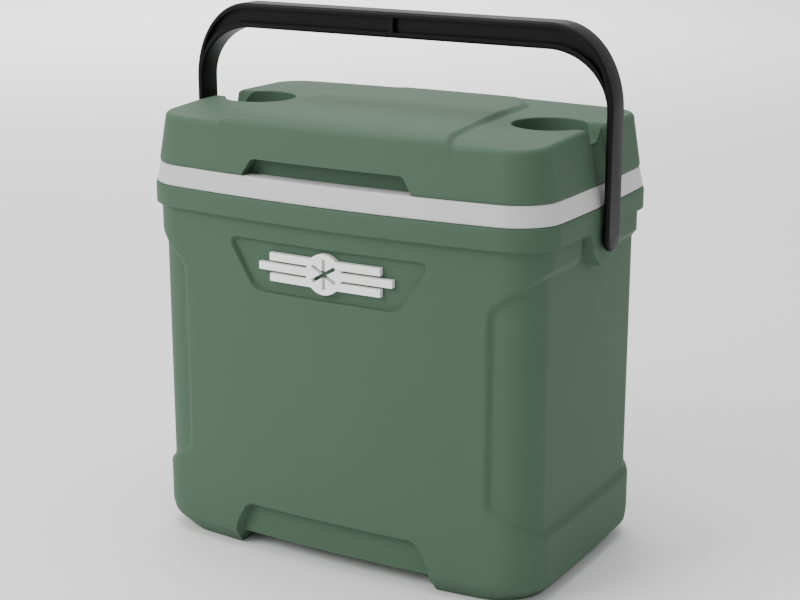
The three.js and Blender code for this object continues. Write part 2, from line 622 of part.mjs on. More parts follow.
const hingeLeaf = (side, isLid) => {
  const centre = side * HINGE_X;
  const half = HINGE_WIDTH / 2;
  const [back, face] = [HINGE_BED_Y + GAP, HINGE_BED_Y + GAP + LEAF_THICKNESS];
  const up = isLid ? 1 : -1;
  const near = HINGE_AXIS_Z + up * LEAF_STANDOFF;
  const far = near + up * LEAF_REACH;
  const [low, high] = [Math.min(near, far), Math.max(near, far)];
  let leaf = box([centre - half, back, low], [centre + half, face, high]);
  const spans = isLid
    ? [[-KNUCKLE_SPLIT, KNUCKLE_SPLIT]]
    : [[-half, -KNUCKLE_SPLIT - GAP], [KNUCKLE_SPLIT + GAP, half]];
  spans.forEach(([from, to]) => {
    const [a, b] = [centre + from, centre + to];
    const root = near + up * KNUCKLE_ROOT;
    const edge = [Math.min(HINGE_AXIS_Z, root), Math.max(HINGE_AXIS_Z, root)];
    leaf = leaf.add(bar('x', KNUCKLE_RADIUS, a, b, [HINGE_AXIS_Y, HINGE_AXIS_Z], SMALL_ROUND))
      .add(box([a, HINGE_AXIS_Y - KNUCKLE_RADIUS, edge[0]], [b, HINGE_AXIS_Y - KNUCKLE_ROOT, edge[1]]));
  });
  const bore = HINGE_PIN_RADIUS + PIN_CLEARANCE;
  const [left, right] = [centre - half - OVERCUT, centre + half + OVERCUT];
  leaf = leaf.subtract(bar('x', bore, left, right, [HINGE_AXIS_Y, HINGE_AXIS_Z], SMALL_ROUND));
  const z = isLid ? lidScrewZ : bodyScrewZ;
  return leaf.subtract(screwHoles(z));
};

const hingePin = (side) => bar('x', HINGE_PIN_RADIUS, side * HINGE_X - HINGE_WIDTH / 2,
  side * HINGE_X + HINGE_WIDTH / 2, [HINGE_AXIS_Y, HINGE_AXIS_Z], SMALL_ROUND);

const screw = (x, z) => {
  const seat = HINGE_BED_Y + GAP + LEAF_THICKNESS + GAP;
  return bar('y', SCREW_HEAD_RADIUS, seat, seat + SCREW_HEAD, [x, z], SMALL_ROUND)
    .add(bar('y', SCREW_RADIUS, screwEndY, seat + SCREW_SEAT, [x, z], SMALL_ROUND));
};

// ---- assembly ----

const plastic = (color, roughness) => new THREE.MeshStandardMaterial({ color, roughness, metalness: 0 });
const materials = {
  green: plastic('#5f7a66', 0.5),
  grey: plastic('#cdcdcd', 0.45),
  white: plastic('#f4f4f2', 0.4),
  black: plastic('#222222', 0.45),
  foam: plastic('#e9dfa9', 0.95),
  acetal: plastic('#1a1a1a', 0.4),
  steel: new THREE.MeshStandardMaterial({ color: '#b9bcbf', roughness: 0.3, metalness: 1 }),
};

const group = new THREE.Group();
const place = (name, solid, material) => {
  const mesh = new THREE.Mesh(toGeometry(solid), materials[material].clone());
  mesh.name = name;
  group.add(mesh);
};

place('body_shell', bodyShell, 'green');
place('body_foam', bodyFoam, 'foam');
place('liner_tub', liner, 'grey');
place('badge', badge(), 'white');
place('lid_shell', lidShell, 'green');
place('lid_foam', lidFoam, 'foam');
place('lid_liner', lidLiner, 'grey');
place('bail_handle', bailHandle(), 'black');
for (const [name, side] of [['left', -1], ['right', 1]]) {
  place(`pivot_bush_${name}`, side > 0 ? bush : bush.mirror([1, 0, 0]), 'acetal');
  place(`hinge_body_leaf_${name}`, hingeLeaf(side, false), 'grey');
  place(`hinge_lid_leaf_${name}`, hingeLeaf(side, true), 'grey');
  place(`hinge_pin_${name}`, hingePin(side), 'steel');
  screwXs.forEach((x, i) => {
    place(`body_leaf_screw_${name}_${i + 1}`, screw(side * x, bodyScrewZ), 'steel');
    place(`lid_leaf_screw_${name}_${i + 1}`, screw(side * x, lidScrewZ), 'steel');
  });
}

export default group;
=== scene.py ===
"""A moulded picnic cooler: a foam-filled chest, a hinged lid and a swing-up bail, finished round its frame.

The chest, its band and its lid are skins: stacked rings of one rounded plan outline, made by extruding
a circle and then seating every vertex by its inset from that outline. Recesses, bosses and ledges are
smooth steps in that inset or in height, as the soft edges of a mould are.
"""
import math

import bmesh
import bpy
from mathutils import Matrix, Vector


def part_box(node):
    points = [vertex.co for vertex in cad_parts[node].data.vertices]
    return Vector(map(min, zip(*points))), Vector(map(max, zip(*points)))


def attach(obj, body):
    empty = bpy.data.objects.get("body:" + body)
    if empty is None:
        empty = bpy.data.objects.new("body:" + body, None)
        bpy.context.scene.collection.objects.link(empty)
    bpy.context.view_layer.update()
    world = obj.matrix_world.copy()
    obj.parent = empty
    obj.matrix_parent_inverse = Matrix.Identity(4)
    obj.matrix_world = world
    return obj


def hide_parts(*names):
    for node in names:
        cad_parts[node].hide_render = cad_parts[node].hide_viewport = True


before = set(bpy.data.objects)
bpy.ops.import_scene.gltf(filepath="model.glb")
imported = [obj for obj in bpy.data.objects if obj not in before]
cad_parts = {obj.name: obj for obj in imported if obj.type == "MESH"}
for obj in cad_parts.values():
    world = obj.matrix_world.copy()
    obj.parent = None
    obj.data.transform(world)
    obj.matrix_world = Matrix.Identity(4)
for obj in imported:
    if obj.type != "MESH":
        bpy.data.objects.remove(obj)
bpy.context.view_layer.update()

bl_info = {
    "name": "Picnic Cooler",
    "version": (1, 0, 0),
    "blender": (4, 5, 0),
    "location": "3D View > Sidebar > Cooler",
    "description": "Builds a moulded picnic cooler around its packed frame",
    "category": "Object",
}

MM = 0.001
BODY_LOW, BODY_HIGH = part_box("body_shell")
BAND_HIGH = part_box("liner_tub")[1]
LID_LOW, LID_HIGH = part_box("lid_shell")
BAIL_LOW, BAIL_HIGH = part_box("bail_handle")
LEAF_LOW, LEAF_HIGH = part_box("hinge_body_leaf_right")
LID_LEAF_LOW, LID_LEAF_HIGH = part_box("hinge_lid_leaf_right")
HALF_X, HALF_Y = BODY_HIGH.x, BODY_HIGH.y

# Clearances and small edges of the mouldings.
LEAF_BED_GAP = 0.3 * MM
LEAF_BED_MARGIN = 1.5 * MM
LEAF_BED_ROUND = 2 * MM
LEAF_BED_BLEND = 1.6 * MM
LEAST_CORNER = 3 * MM
SHARP_ANGLE = math.radians(35)

# The side recess: its ledges rise or fall toward its front edge, and step up round the bail's boss.
RECESS_TOP_FALL = 29 * MM
RECESS_BOTTOM_RISE = 24 * MM
POCKET_RISE = 40 * MM
POCKET_BLEND = 9 * MM
RECESS_ROUND = 9 * MM
RECESS_BLEND = 6.5 * MM
TOP_SLOPE, BOTTOM_SLOPE = 0.85, 0.8

# The chest's other blends.
TUNNEL_FADE = 32 * MM
CREASE_ROUND = 1.6 * MM
SOLE_HEIGHT = 26 * MM
SOLE_FADE = 1.3
COLLAR_LAP = 0.8 * MM
COLLAR_BLEND = 3.2 * MM
BOSS_ROUND = 9 * MM
ARCH_END_GAP = 0.6 * MM
ARCH_LEAN = 0.87
ARCH_ROUND = 7 * MM
ARCH_BLEND = 3.4 * MM
BADGE_LEAN = 0.88
BADGE_ROUND = 9 * MM
BADGE_BLEND = 2.0 * MM
LIP_DEPTH = 0.9 * MM
LIP_DROP = 0.6 * MM
LIP_BLEND = 1.2 * MM
CAVITY_WALL = 3 * MM
LOW_CAVITY_WALL = 4 * MM
CAVITY_STEP = 11 * MM
TUB_CORNER = 60 * MM
BAND_ROWS = 10

# Heights in millimetres and the gap between rings above each, closer where an edge runs.
CHEST_ROW_GAPS = (
    (0, 1.5), (30, 2.5), (40, 1.1), (50, 1.9), (96, 12), (252, 1.1), (262, 1.3), (300, 1.1), (326, 3))
# Columns on the front and back, on each side and in each corner.
CHEST_COLUMNS = (196, 76, 24)
LINER_COLUMNS = (84, 30, 16)
LID_COLUMNS = (160, 92, 20)

# The badge's motif.
BADGE_LAP = 0.3 * MM
BADGE_PROUD = 0.6 * MM
BAR_SHORTER = 12 * MM
BAR_HALF_HEIGHT = 3.5 * MM
BAR_PITCH = 9.5 * MM
ARM_SHORTER = 9 * MM
ARM_REACH = 60 * MM
ARM_WIDTH = 3.4 * MM
BADGE_EDGE = 0.5 * MM

# The lid's blends and cutters.
DECK_FLAT = 45 * MM
DECK_ROUND = 16 * MM
CREASE_BLEND = 1.2 * MM
PANEL_MARGIN = 2 * MM
PANEL_BLEND = 7 * MM
CHANNEL_FRONT_BLEND = 8 * MM
CHANNEL_REAR_INSET = 4 * MM
CHANNEL_REAR_BLEND = 16 * MM
CHANNEL_START_BLEND = 4 * MM
CHANNEL_LEVEL = 15 * MM
CHANNEL_RAMP = 32 * MM
GUTTER_BLEND = 3 * MM
GUTTER_START = 2 * MM
GUTTER_RISE = 4 * MM
SIDE_START = 2.2 * MM
UNDER_CORNER = 20 * MM
UNDER_MARGIN = 3 * MM
UNDER_FLAT = 30 * MM
UNDER_INSET = 60 * MM
BED_HEIGHT = 3.6 * MM
SIDE_ROWS = 18
EDGE_TURNS = (20, 35, 50, 65, 78)
FINGER_MARGIN = 4 * MM
FINGER_BLEND = 3 * MM
FINGER_OVERCUT = 6 * MM
FINGER_BELOW = 12 * MM
FINGER_BEND_SHARES = (-0.83, -0.5, -0.17, 0.17, 0.5, 0.83)
PAD_MARGIN = 2 * MM
CUP_WALL_INSET = 6 * MM
CUP_FOOT = 5 * MM
CUP_RIM = 1.2 * MM
CUP_DRAFT = 0.6 * MM
CUP_WALL_START = 9 * MM
CUP_FLARE = 2 * MM
CUP_FLARE_RISE = 0.6 * MM
CUP_OVERCUT = 20 * MM
CUP_TURNS = (20, 40, 60, 80)
RING_GAP = 1.7 * MM
MIDDLE_GAP = 6 * MM

# The bail's fittings.
STUD_RADIUS = 6 * MM
STUD_SHORTER = 3.5 * MM
STUD_SINK = 1 * MM
BAIL_FINAL_EDGE = 0.7 * MM
CORNER_NARROWER = 3 * MM
GRIP_TIP_RISE = 12 * MM
GRIP_TIP_INSET = 4 * MM
GRIP_BOW_INSET = 6 * MM
GRIP_OVERCUT = 2 * MM


# ---------------------------------------------------------------- colour and number helpers

def linear(hex_colour):
    """An sRGB hex colour as the linear colour that shaders use."""
    channels = [int(hex_colour[i:i + 2], 16) / 255 for i in (1, 3, 5)]
    return tuple(c / 12.92 if c <= 0.04045 else ((c + 0.055) / 1.055) ** 2.4 for c in channels)


def step(distance, width):
    """0 well outside an edge, 1 well inside it, and smooth across the given width."""
    t = min(1.0, max(0.0, distance / width + 0.5))
    return t * t * (3 - 2 * t)


def soft_min(a, b, radius):
    """The smaller of two distances, rounded where they meet, so that an outline's corner is round."""
    h = max(radius - abs(a - b), 0.0) / radius
    return min(a, b) - h * h * radius / 4


def soft_max(a, b, radius):
    return -soft_min(-a, -b, radius)


def mix(a, b, t):
    return a + (b - a) * t


def along(points, value):
    """The height of a broken line at a value: points are (value, height) in rising order."""
    for (a, low), (b, high) in zip(points, points[1:]):
        if value <= b:
            return mix(low, high, min(1.0, max(0.0, (value - a) / (b - a))))
    return points[-1][1]


# ---------------------------------------------------------------- settings

def length(name, description, millimetres):
    return bpy.props.FloatProperty(
        name=name, description=description, default=millimetres * MM, min=0.0, unit="LENGTH")


def colour(name, description, hex_colour):
    return bpy.props.FloatVectorProperty(
        name=name, description=description, default=linear(hex_colour), subtype="COLOR", min=0, max=1)


class CoolerChestSettings(bpy.types.PropertyGroup):
    corner_radius: length("Corner radius", "Radius of the four upright corners, in plan", 41)
    front_bow: length("Front bow", "How far the middle of the front and back stands proud", 15)
    side_bow: length("Side bow", "How far the middle of each side stands proud", 3.4)
    wall_inset: length("Wall inset", "How far the wall stands in from the collar", 5.8)
    collar_height: length("Collar height", "Height of the collar round the top of the chest", 20)
    foot_inset: length("Foot inset", "How far the runners' soles stand in from the collar", 18.5)
    foot_chamfer: length("Foot chamfer", "Height of the slope round the bottom edge", 15)
    foot_corner: length("Foot corner", "How much rounder the soles' corners are than the wall's", 20)
    clearance: length("Ground clearance", "Height of the tunnel between the runners", 14)
    arch_half_width: length("Arch half width", "Half the width of the arch between the runners", 117)
    sole_gap: length("Sole gap", "Half the gap between the runners' soles", 122)
    arch_top: length("Arch top", "Height of the top edge of the arch", 46)
    arch_slant: length("Arch slant", "How far each end of the arch leans inward at its top", 26)
    arch_depth: length("Arch depth", "How far the arch's face stands back from the wall", 10)
    side_recess_depth: length("Side recess depth", "Depth of the recessed panel round each side", 4.6)
    side_recess_bottom: length("Side recess bottom", "Height of the recess's lower ledge", 64)
    side_recess_top: length("Side recess top", "Height of the recess's upper ledge", 299)
    side_recess_edge: length("Side recess edge", "Width of the recess on the front and back", 49)
    pocket_half_width: length("Pocket half width", "Half the width of the pocket round each boss", 37)
    badge_depth: length("Badge recess depth", "Depth of the recess that holds the badge", 4.5)
    badge_centre: length("Badge centre", "Height of the middle of the badge recess", 280)
    badge_half_height: length("Badge half height", "Half the height of the badge recess", 23)
    badge_half_top: length("Badge half top", "Half the width of the badge recess at its top", 105)
    badge_half_bottom: length("Badge half bottom", "Half the width of the badge recess at its bottom", 76)
    pivot_height: length("Pivot height", "Height of the bail's pivots", 315)
    boss_radius: length("Boss radius", "Radius of the boss that hangs from the collar at each pivot", 27)


class CoolerLidSettings(bpy.types.PropertyGroup):
    panel_rise: length("Panel rise", "Height of the raised middle of the lid", 4.5)
    deck_fall: length("Deck fall", "How far the lid falls toward its front edge", 5)
    crease: length("Crease setback", "Distance of the panel's crease behind the middle", 10)
    panel_fall_front: length("Panel front fall", "How far the panel falls in front of its crease", 5.5)
    panel_fall_rear: length("Panel rear fall", "How far the panel falls behind its crease", 4.3)
    band_setback: length("Band setback", "How far the band stands in from the collar", 1.3)
    band_slope: length("Band slope", "How far the band and the lid's foot lean in", 5)
    taper: length("Taper", "How far the lid's side leans in over its height", 7)
    edge: length("Top edge", "Radius of the lid's top edge", 5)
    cup_radius: length("Cup radius", "Radius of the two drink recesses", 34)
    cup_depth: length("Cup depth", "Depth of the two drink recesses", 26)
    cup_x: length("Cup position", "Distance of each drink recess from the middle", 154)
    cup_y: length("Cup setback", "How far the drink recesses stand behind the middle", 1)
    channel_half_width: length("Channel half width", "Half the width of the drain channels", 17)
    channel_y: length("Channel setback", "How far the drain channels stand behind the middle", 6.5)
    channel_depth: length("Channel depth", "Depth of the drain channels in the top", 10)
    channel_drop: length("Channel drop", "How much lower the drain channels run at the lid's edge", 7)
    side_channel_depth: length("Side channel depth", "Depth of the drain channels in the lid's side", 4)
    finger_half_top: length("Finger half top", "Half the width of the finger recess at its top", 78)
    finger_half_bottom: length("Finger half bottom", "Half the width of the finger recess below", 88)
    finger_height: length("Finger height", "Height of the finger recess", 15.5)
    finger_depth: length("Finger depth", "Depth of the finger recess", 15)


class CoolerBailSettings(bpy.types.PropertyGroup):
    strap_thickness: length("Strap thickness", "Thickness of the bail's two straps", 6)
    edge: length("Bail edge", "Radius of the bail's long edges", 2.4)
    bar_height: length("Bar height", "Height of the bail's bar", 23.4)
    corner_x: length("Corner width", "Width of the bail's rounded corner", 60)
    corner_z: length("Corner height", "Height of the bail's rounded corner", 75)
    grip_rim: length("Grip rim", "Width of the rim round each grip recess", 5)
    grip_depth: length("Grip depth", "Depth of the grip recesses", 5)
    grip_rib: length("Grip rib", "Width of the rib at the middle of the bar", 4)


class CoolerFinishSettings(bpy.types.PropertyGroup):
    green: colour("Green", "Colour of the chest and the lid", "#475F4D")
    grey: colour("Grey", "Colour of the liner and its band", "#C6C6C6")
    white: colour("White", "Colour of the badge", "#FBFBFA")
    black: colour("Black", "Colour of the bail", "#080808")


# ---------------------------------------------------------------- the plan outline

class Outline:
    """The chest's rounded plan, walked anticlockwise. A column is (x share, y share, angle)."""

    def __init__(self, front_columns, side_columns, corner_columns):
        self.columns = []
        corners = [(-1, -1), (1, -1), (1, 1), (-1, 1)]
        counts = [front_columns, side_columns, front_columns, side_columns]
        for index, ((x, y), count) in enumerate(zip(corners, counts)):
            next_x, next_y = corners[(index + 1) % 4]
            angle = 90 * index - 90
            for i in range(1, count):
                self.columns.append((mix(x, next_x, i / count), mix(y, next_y, i / count), angle))
            for i in range(corner_columns + 1):
                self.columns.append((next_x, next_y, angle + 90 * i / corner_columns))

    @staticmethod
    def point(column, inset, radius):
        """A place on the outline, moved inward, whose corners have the given radius there."""
        x_share, y_share, angle = column
        turn = math.radians(angle)
        return (
            x_share * (HALF_X - inset - radius) + radius * math.cos(turn),
            y_share * (HALF_Y - inset - radius) + radius * math.sin(turn),
        )


def bowed(x, y):
    """The front and back swell outward at the middle, and the sides do so a little."""
    chest = bpy.context.scene.cooler_chest
    return (
        x * (1 - chest.side_bow / HALF_X * (y / HALF_Y) ** 2),
        y * (1 - chest.front_bow / HALF_Y * (x / HALF_X) ** 2),
    )


def corner(inset):
    """The corner radius of a ring that stands in from the collar by an inset."""
    return max(bpy.context.scene.cooler_chest.corner_radius - inset, LEAST_CORNER)


def hinge_bed(x, y, z, low, high):
    """Each hinge lies on a flat bed in the back of the chest and the lid."""
    bed = LEAF_LOW.y - LEAF_BED_GAP
    middle = (LEAF_LOW.x + LEAF_HIGH.x) / 2
    half = (LEAF_HIGH.x - LEAF_LOW.x) / 2 + LEAF_BED_MARGIN
    if y < HALF_Y / 2:
        return y
    inside = soft_min(half - abs(abs(x) - middle), min(z - low, high - z), LEAF_BED_ROUND)
    return mix(y, bed, step(inside, LEAF_BED_BLEND))


# ---------------------------------------------------------------- mesh helpers

def skin(outline, rows, seat):
    """A closed solid of stacked rings: seat(column, row) gives the place of each ring's vertices."""
    bm = bmesh.new()
    tag = bm.verts.layers.int.new("column")
    ring = bmesh.ops.create_circle(bm, segments=len(outline.columns), radius=1.0)["verts"]
    for i, vert in enumerate(ring):
        vert[tag] = i
        vert.co = seat(outline.columns[i], rows[0])
    edges = list(bm.edges)
    first = edges
    for row in rows[1:]:
        made = bmesh.ops.extrude_edge_only(bm, edges=edges)["geom"]
        edges = [item for item in made if isinstance(item, bmesh.types.BMEdge)
                 and all(len(v.link_faces) <= 2 for v in item.verts) and len(item.link_faces) == 1]
        for item in made:
            if isinstance(item, bmesh.types.BMVert):
                item.co = seat(outline.columns[item[tag]], row)
    for ring_edges in (first, edges):
        close(bm, outline, ring_edges, tag)
    bmesh.ops.remove_doubles(bm, verts=bm.verts, dist=1e-7)
    bmesh.ops.recalc_face_normals(bm, faces=bm.faces)
    return bm


def close(bm, outline, edges, tag):
    """Closes a ring with strips from its front half to its back half, then fills its two flat sides."""
    halves = {1: [], -1: []}
    for edge in edges:
        shares = [outline.columns[v[tag]][1] for v in edge.verts]
        if shares[0] == shares[1] and abs(shares[0]) == 1:
            halves[int(shares[0])].append(edge)
    bmesh.ops.bridge_loops(bm, edges=halves[1] + halves[-1])
    open_edges = [edge for edge in bm.edges if len(edge.link_faces) == 1]
    mine = set(edges) | {e for e in open_edges if e not in edges and all(
        any(v in other.verts for other in edges) for v in e.verts)}
    bmesh.ops.holes_fill(bm, edges=[e for e in open_edges if e in mine], sides=0)


def to_object(name, bm, material):
    """A finished bmesh as an object at the origin, smooth except across its real edges."""
    mesh = bpy.data.meshes.new(name)
    bm.to_mesh(mesh)
    bm.free()
    mesh.shade_smooth()
    mesh.set_sharp_from_angle(angle=SHARP_ANGLE)
    piece = bpy.data.objects.new(name, mesh)
    bpy.context.scene.collection.objects.link(piece)
    mesh.materials.append(material)
    return piece


def cut(piece, cutters):
    """Cuts solids out of a piece for good, and removes them."""
    for cutter in cutters:
        modifier = piece.modifiers.new("cut", "BOOLEAN")
        modifier.operation = "DIFFERENCE"
        modifier.solver = "EXACT"
        modifier.object = cutter
    apply(piece)
    remove(cutters)


def join(piece, parts):
    """Adds live unions of parts, which stay in the scene until a cut has applied them."""
    for part in parts:
        union = piece.modifiers.new("join", "BOOLEAN")
        union.operation = "UNION"
        union.solver = "EXACT"
        union.object = part


def remove(parts):
    for part in parts:
        bpy.data.objects.remove(part, do_unlink=True)


def apply(piece):
    """Turns a piece's modifiers into its mesh."""
    view = bpy.context.evaluated_depsgraph_get()
    view.update()
    made = bpy.data.meshes.new_from_object(piece.evaluated_get(view), depsgraph=view)
    piece.modifiers.clear()
    piece.data = made


def soften(piece, width, angle):
    """Rounds a piece's hard edges, but only as far as the shortest edges that its cuts leave allow.

    The badge and the bail have such edges, so almost nothing of their last rounding is left.
    """
    bevel = piece.modifiers.new("soften", "BEVEL")
    bevel.width = width
    bevel.segments = 2
    bevel.limit_method = "ANGLE"
    bevel.angle_limit = math.radians(angle)
    bevel.harden_normals = True


def push_through(bm, faces, depth):
    """Turns flat faces into a closed solid by pushing them along Y. Its normals are still to be set."""
    made = bmesh.ops.extrude_face_region(bm, geom=faces)["geom"]
    moved = [item for item in made if isinstance(item, bmesh.types.BMVert)]
    bmesh.ops.translate(bm, vec=(0, depth, 0), verts=moved)


def round_edges(bm, width, chosen=lambda edge: True):
    """Rounds the square edges of a solid."""
    edges = [e for e in bm.edges if e.calc_face_angle(0) > 1 and chosen(e)]
    bmesh.ops.bevel(bm, geom=edges, offset=width, segments=4, profile=0.5, affect="EDGES", material=-1)


def prism(name, points, from_y, to_y, material):
    """A flat outline in X and Z, pushed through along Y."""
    bm = bmesh.new()
    face = bm.faces.new([bm.verts.new((x, from_y, z)) for x, z in points])
    push_through(bm, [face], to_y - from_y)
    bmesh.ops.recalc_face_normals(bm, faces=bm.faces)
    return to_object(name, bm, material)


def mirrored(points):
    return [(-x, z) for x, z in reversed(points)]


# ---------------------------------------------------------------- materials

COLOUR_DRIFT = 90 * MM
GLOSS_SPREAD = 0.04
GRAIN_STRENGTH = 0.35
STEEL_GRAIN = 0.5 * MM


def node(tree, kind, links=(), **settings):
    """Adds a node, sets its sockets and properties by name, and links sockets into it."""
    made = tree.nodes.new(kind)
    for key, value in settings.items():
        if key in made.inputs:
            made.inputs[key].default_value = value
        else:
            setattr(made, key, value)
    for source, target in links:
        tree.links.new(source, made.inputs[target])
    return made


def blank(name):
    """A new material's empty node tree, with the socket that gives a place on the piece."""
    material = bpy.data.materials.new(name)
    material.use_nodes = True
    tree = material.node_tree
    tree.nodes.clear()
    return material, tree, node(tree, "ShaderNodeTexCoord").outputs["Object"]


def moulded(name, base, roughness, grain_mm, grain_depth_mm, spread=0.03, ior=1.5, specular=0.5):
    """A moulded plastic: a fine spark-eroded grain from the mould, and a slight drift of colour.

    A real grain is a few tenths of a millimetre, and this one is drawn coarser, so that it shows.
    """
    if name in bpy.data.materials:
        return bpy.data.materials[name]
    material, tree, place = blank(name)
    drift = node(tree, "ShaderNodeTexNoise", [(place, "Vector")], Scale=1 / COLOUR_DRIFT, Detail=2.0)
    tone = node(tree, "ShaderNodeMix", [(drift.outputs["Fac"], "Factor")], data_type="RGBA")
    for socket, share in ((6, 1 - spread), (7, 1 + spread)):
        tone.inputs[socket].default_value = (*[min(1.0, c * share) for c in base], 1)
    grain = node(tree, "ShaderNodeTexNoise", [(place, "Vector")], Scale=1 / (grain_mm * MM), Detail=3.0)
    gloss = node(tree, "ShaderNodeMapRange", [(grain.outputs["Fac"], "Value")],
                 **{"To Min": roughness - GLOSS_SPREAD, "To Max": roughness + GLOSS_SPREAD})
    bump = node(tree, "ShaderNodeBump", [(grain.outputs["Fac"], "Height")],
                Strength=GRAIN_STRENGTH, Distance=grain_depth_mm * MM)
    shader = node(tree, "ShaderNodeBsdfPrincipled", [
        (tone.outputs[2], "Base Color"), (gloss.outputs["Result"], "Roughness"),
        (bump.outputs["Normal"], "Normal"),
    ], **{"IOR": ior, "Specular IOR Level": specular})
    node(tree, "ShaderNodeOutputMaterial", [(shader.outputs["BSDF"], "Surface")])
    return material


def green_hdpe():
    """Green HDPE, moulded satin: broad, faint highlights over a fine grain."""
    green = bpy.context.scene.cooler_finish.green
    return moulded("green_hdpe_moulded", green, 0.58, 0.9, 0.04, specular=0.13)


def grey_hdpe():
    """Pale grey HDPE, a little glossier than the chest, because its mould is polished."""
    return moulded("grey_hdpe_moulded", bpy.context.scene.cooler_finish.grey, 0.42, 0.9, 0.02, 0.015)


def white_abs():
    """White ABS badge, nearly glossy and clean."""
    return moulded("white_abs_moulded", bpy.context.scene.cooler_finish.white, 0.3, 0.7, 0.01, 0.01, 1.54)


def black_pp():
    """Black polypropylene bail: satin, with long soft highlights."""
    black = bpy.context.scene.cooler_finish.black
    return moulded("black_polypropylene_moulded", black, 0.42, 0.8, 0.02, 0.05, 1.49, 0.18)


def foam_pu():
    """Rigid polyurethane foam: matt and cellular."""
    return moulded("rigid_polyurethane_foam", linear("#E9DFA9"), 0.95, 2.5, 0.4, 0.08, 1.45)


def acetal():
    """Black acetal, turned: waxy and close-grained."""
    return moulded("black_acetal_turned", linear("#151515"), 0.35, 0.6, 0.01, 0.02, 1.48)


def plated_steel():
    """Zinc-plated steel: bright, with a fine even grain."""
    name = "zinc_plated_steel"
    if name in bpy.data.materials:
        return bpy.data.materials[name]
    material, tree, place = blank(name)
    grain = node(tree, "ShaderNodeTexNoise", [(place, "Vector")], Scale=1 / STEEL_GRAIN, Detail=4.0)
    gloss = node(tree, "ShaderNodeMapRange", [(grain.outputs["Fac"], "Value")],
                 **{"To Min": 0.22, "To Max": 0.4})
    shader = node(tree, "ShaderNodeBsdfPrincipled", [(gloss.outputs["Result"], "Roughness")], Metallic=1.0)
    shader.inputs["Base Color"].default_value = (*linear("#C3C6C9"), 1)
    node(tree, "ShaderNodeOutputMaterial", [(shader.outputs["BSDF"], "Surface")])
    return material


def finish_node(name, material):
    """Gives a carried-over node its material."""
    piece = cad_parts[name]
    piece.data.materials.clear()
    piece.data.materials.append(material)


# ---------------------------------------------------------------- the chest

def side_run(column, chest):
    """How far round the outline a column lies beyond the front edge of the side recess."""
    x, y = Outline.point(column, 0, chest.corner_radius)
    radius = chest.corner_radius
    run = chest.side_recess_edge - radius
    if abs(column[1]) == 1 and abs(column[0]) == 1:
        return run + radius * math.atan2(abs(x) - (HALF_X - radius), abs(y) - (HALF_Y - radius))
    if abs(column[1]) == 1:
        return abs(x) - (HALF_X - chest.side_recess_edge)
    return run + radius * math.pi / 2 + (HALF_Y - radius) * (1 - abs(column[1]))


def recess_distance(column, z, chest):
    """How far a place lies inside the recessed panel that wraps round each side."""
    run = side_run(column, chest)
    x, y = Outline.point(column, 0, chest.corner_radius)
    short = max(0.0, HALF_X - abs(x)) / chest.side_recess_edge
    top = chest.side_recess_top - RECESS_TOP_FALL * short
    bottom = chest.side_recess_bottom + RECESS_BOTTOM_RISE * short
    if abs(column[1]) != 1:
        top += POCKET_RISE * step(chest.pocket_half_width - abs(y), POCKET_BLEND)
    upright = soft_min(run, TOP_SLOPE * (top - z), RECESS_ROUND)
    return soft_min(upright, BOTTOM_SLOPE * (z - bottom), RECESS_ROUND)


def chest_seat(column, row):
    """The place of a vertex of the chest's outer skin, from its column and its height before lifting."""
    chest = bpy.context.scene.cooler_chest
    outline_x, outline_y = Outline.point(column, 0, chest.corner_radius)
    facing = abs(column[1]) == 1
    mouth = chest.arch_half_width - chest.arch_slant * chest.clearance / chest.arch_top
    lift = 0.0
    if facing:
        lift = min(1.0, max(0.0, (chest.sole_gap - abs(outline_x)) / (chest.sole_gap - mouth)))
    z = row + chest.clearance * lift * max(0.0, 1 - row / TUNNEL_FADE)
    slope = chest.foot_inset - (chest.foot_inset - chest.wall_inset) * z / chest.foot_chamfer
    inset = soft_max(chest.wall_inset, slope, CREASE_ROUND)
    rounder = chest.foot_corner * max(0.0, 1 - z / SOLE_HEIGHT) ** SOLE_FADE
    inset += chest.side_recess_depth * step(recess_distance(column, z, chest), RECESS_BLEND)
    cover = z - (BODY_HIGH.z - chest.collar_height - COLLAR_LAP)
    if not facing:
        reach = math.hypot(outline_y * (1 - chest.front_bow / HALF_Y), z - chest.pivot_height)
        cover = soft_max(cover, chest.boss_radius - reach, BOSS_ROUND)
    inset *= 1 - step(cover, COLLAR_BLEND)
    if facing:
        end = along([(0, chest.sole_gap), (chest.clearance, mouth),
                     (chest.arch_top, chest.arch_half_width - chest.arch_slant)], z)
        side = ARCH_LEAN * (end - ARCH_END_GAP - abs(outline_x))
        arch = soft_min(chest.arch_top - z, side, ARCH_ROUND)
        inset = mix(inset, chest.wall_inset + chest.arch_depth, step(arch, ARCH_BLEND))
    if column[1] == -1:
        low = chest.badge_centre - chest.badge_half_height
        share = (z - low) / (2 * chest.badge_half_height)
        side = BADGE_LEAN * (mix(chest.badge_half_bottom, chest.badge_half_top, share) - abs(outline_x))
        badge = soft_min(chest.badge_half_height - abs(z - chest.badge_centre), side, BADGE_ROUND)
        inset += chest.badge_depth * step(badge, BADGE_BLEND)
    inset += LIP_DEPTH * step(z - BODY_HIGH.z + LIP_DROP, LIP_BLEND)
    x, y = bowed(*Outline.point(column, inset, corner(inset) + rounder))
    y = hinge_bed(x, y, z, LEAF_LOW.z - MM, 1)
    return Vector((x, y, z))


def spaced(low, high, gap):
    """Even heights from low up to, and not at, high."""
    count = max(1, round((high - low) / gap))
    return [mix(low, high, i / count) for i in range(count)]


